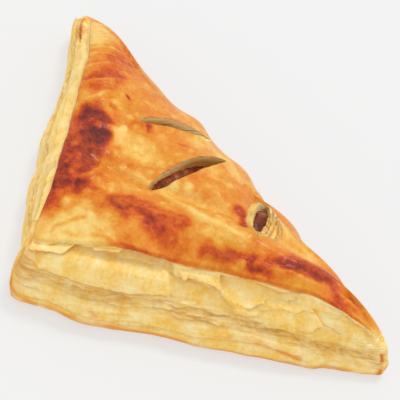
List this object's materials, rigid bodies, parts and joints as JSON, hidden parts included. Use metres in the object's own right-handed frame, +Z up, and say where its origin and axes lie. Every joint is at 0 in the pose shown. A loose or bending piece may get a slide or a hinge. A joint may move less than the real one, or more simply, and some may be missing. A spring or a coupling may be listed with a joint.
{
  "type": "turnover pastry",
  "caption": "Triangular baked puff pastry turnover, folded over a fruit filling that shows through vents in its glazed lid.",
  "frame": {"origin": "middle of the bounding box in plan, at the level of the flat base", "axes": "+Z up out of the lid, +X along the folded side, +Y towards the folded side, square corner towards -Y"},
  "size_m": [0.1764, 0.0884, 0.0357],
  "materials": {
    "crust": "baked puff pastry with an egg-washed lid",
    "fruit": "moist cooked fruit"
  },
  "bodies": {
    "root": {"pastry": "crust", "filling": "fruit"}
  },
  "joints": []
}
